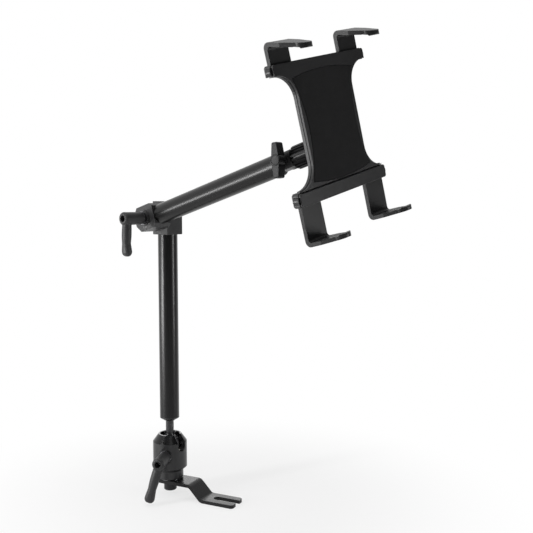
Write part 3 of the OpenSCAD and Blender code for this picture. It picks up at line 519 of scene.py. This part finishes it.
# A round cap with a dished middle closes the knob over the bolt's end.
wing_out = Vector(joints["wing_turn"]["axis"]).normalized()
wing_out *= -1 if wing_out.y > 0 else 1
wing_side = wing_out.orthogonal().normalized()
wing_up = wing_out.cross(wing_side)
wing_place = Vector(joints["wing_turn"]["pos_m"])
wing_face = max((v.co - wing_place).dot(wing_out) for v in wing.data.vertices)
cap_profile = [(0.0062, -0.0004), (0.0062, 0.0006), (0.0057, 0.0010), (0.0050, 0.0010), (0.0044, 0.0005),
               (0.0020, 0.0003)]
cap_work = bmesh.new()
cap_work.from_mesh(wing.data)
cap_layers = []
for reach, rise in cap_profile:
    cap_layers.append([cap_work.verts.new(
        wing_place + wing_out * (wing_face + rise) + wing_side * reach * math.cos(math.tau * i / cap_sides)
        + wing_up * reach * math.sin(math.tau * i / cap_sides)) for i in range(cap_sides)])
for lower, upper in zip(cap_layers, cap_layers[1:]):
    for i in range(cap_sides):
        j = (i + 1) % cap_sides
        cap_work.faces.new((lower[i], lower[j], upper[j], upper[i]))
cap_work.faces.new(cap_layers[-1])
cap_work.faces.new(list(reversed(cap_layers[0])))
cap_work.to_mesh(wing.data)
cap_work.free()

# Swivel: an oxide-black steel ball on a short shank, held in the knuckle's cup.
# A moulded disc on the shank's end is fixed to the holder's back with four screws.
finish_nodes(black_oxide, "swivel_ball")
finish_nodes(moulded, "adapter_disc")
finish_nodes(bright_zinc, "adapter_screws")

# Holder: two moulded shells screwed together from behind, with a fine spark grain on their faces.
# The back shell holds the springs and the rail slots, the front one the pocket of the pad.
shell_edge = 0.0007
shell = coated("shell_plastic", (0.012, 0.012, 0.0125), (0.020, 0.020, 0.0208), (0.32, 0.44), 1300, 60,
               0.40, 0.00010, Specular_IOR_Level=0.30)
back_shell = coated("back_shell_plastic", (0.014, 0.014, 0.0145), (0.024, 0.024, 0.025), (0.34, 0.46),
                    1300, 60, 0.35, 0.00010, Specular_IOR_Level=0.40)
soft_edges("holder_back", "holder", back_shell, shell_edge)
soft_edges("holder_front", "holder", shell, shell_edge)
finish_nodes(bright_zinc, "cover_screws")
finish_nodes(black_oxide, "return_springs")

# Foam pad: closed-cell foam, die-cut with bowed sides and ends, glued into the front shell's pocket.
# The knife leaves a rounded rim, and the sheet swells a little in the middle.
holder_out = Vector(joints["holder_spin"]["axis"]).normalized()
holder_up = -Vector(joints["holder_expand"]["axis"]).normalized()
holder_side = holder_up.cross(holder_out).normalized()
pad_low, pad_high = (Vector(corner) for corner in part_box("foam_pad"))
pad_middle = (pad_low + pad_high) / 2
pad_node = frame["nodes"]["foam_pad"]
pad_points = [pad_node.matrix_world @ v.co for v in pad_node.data.vertices]
pad_across = [(p - pad_middle).dot(holder_side) for p in pad_points]
pad_along = [(p - pad_middle).dot(holder_up) for p in pad_points]
pad_through = [(p - pad_middle).dot(holder_out) for p in pad_points]
pad_centre = (pad_middle + holder_side * (max(pad_across) + min(pad_across)) / 2
              + holder_up * (max(pad_along) + min(pad_along)) / 2)
pad_floor, pad_face = min(pad_through), max(pad_through)
pad_corner = (max(pad_across) - min(pad_across)) / 2
pad_end = (max(pad_along) - min(pad_along)) / 2
pad_arch, pad_pinch, pad_crown = 0.005, 0.010, 1.21
pad_shoulder = pad_end - pad_arch


def bow(x0, y0, x1, y1, sag, count):
    """Points from corner to corner on a shallow arc that bows out by sag, or in where sag is negative."""
    chord = Vector((x1 - x0, y1 - y0))
    outward = Vector((chord.y, -chord.x)).normalized()
    out = []
    for i in range(count):
        t = i / count
        out.append(Vector((x0, y0)) + chord * t + outward * sag * 4 * t * (1 - t))
    return out


pad_outline = (bow(pad_corner, -pad_shoulder, pad_corner, pad_shoulder, -pad_pinch, 28)
               + bow(pad_corner, pad_shoulder, -pad_corner, pad_shoulder, pad_arch, 24)
               + bow(-pad_corner, pad_shoulder, -pad_corner, -pad_shoulder, -pad_pinch, 28)
               + bow(-pad_corner, -pad_shoulder, pad_corner, -pad_shoulder, pad_arch, 24))
pad_rings = [(1.0, 0.0), (1.0, 0.62), (0.9985, 0.82), (0.994, 0.95), (0.985, 1.0), (0.95, 1.05),
             (0.88, 1.10), (0.76, 1.15), (0.60, 1.18), (0.42, 1.20), (0.24, pad_crown), (0.10, pad_crown)]
pad_thick = pad_face - pad_floor
pad_work = bmesh.new()
pad_layers = []
for share, rise in pad_rings:
    pad_layers.append([pad_work.verts.new(pad_centre + holder_side * p.x * share + holder_up * p.y * share
                                          + holder_out * (pad_floor + pad_thick * rise))
                       for p in pad_outline])
for lower, upper in zip(pad_layers, pad_layers[1:]):
    for i in range(len(lower)):
        j = (i + 1) % len(lower)
        pad_work.faces.new((lower[i], lower[j], upper[j], upper[i]))
pad_work.faces.new(list(reversed(pad_layers[0])))
pad_tip = pad_work.verts.new(pad_centre + holder_out * (pad_floor + pad_thick * pad_crown))
for i in range(len(pad_outline)):
    pad_work.faces.new((pad_layers[-1][i], pad_layers[-1][(i + 1) % len(pad_outline)], pad_tip))
bmesh.ops.recalc_face_normals(pad_work, faces=pad_work.faces)
pad_mesh = bpy.data.meshes.new("pad_sheet")
pad_work.to_mesh(pad_mesh)
pad_work.free()
pad_mesh.shade_smooth()
foam = coated("closed_cell_foam", (0.010, 0.010, 0.0103), (0.020, 0.020, 0.0205), (0.78, 0.90), 900, 110,
              0.85, 0.00022, Specular_IOR_Level=0.10)
pad_mesh.materials.append(foam)
pad_sheet = bpy.data.objects.new("pad_sheet", pad_mesh)
bpy.context.collection.objects.link(pad_sheet)
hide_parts("foam_pad")
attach(pad_sheet, "holder")

# Lower bar: moulded like the shells, on two flat blackened rails that run up into the back shell.
# It is pulled down against the return springs to take a taller tablet.
soft_edges("lower_bar_back", "lower_bar", back_shell, shell_edge)
soft_edges("lower_bar_front", "lower_bar", shell, shell_edge)
finish_nodes(black_oxide, "slide_rails")

# Legs and release buttons: glass-filled nylon, moulded with ribs across the lips that grip the tablet.
# The legs snap into the bars, and the buttons at the bars' ends let them go.
leg_plastic = coated("leg_plastic", (0.009, 0.009, 0.0094), (0.016, 0.016, 0.0165), (0.34, 0.46), 1200, 60,
                     0.35, 0.00010, Specular_IOR_Level=0.30)
button_plastic = coated("button_plastic", (0.010, 0.010, 0.0105), (0.018, 0.018, 0.019), (0.24, 0.34),
                        1300, 80, 0.20, 0.00006, Specular_IOR_Level=0.45)
finish_nodes(leg_plastic, "upper_left_leg", "upper_right_leg", "lower_left_leg", "lower_right_leg")
finish_nodes(button_plastic, "upper_left_release", "upper_right_release", "lower_left_release",
             "lower_right_release")
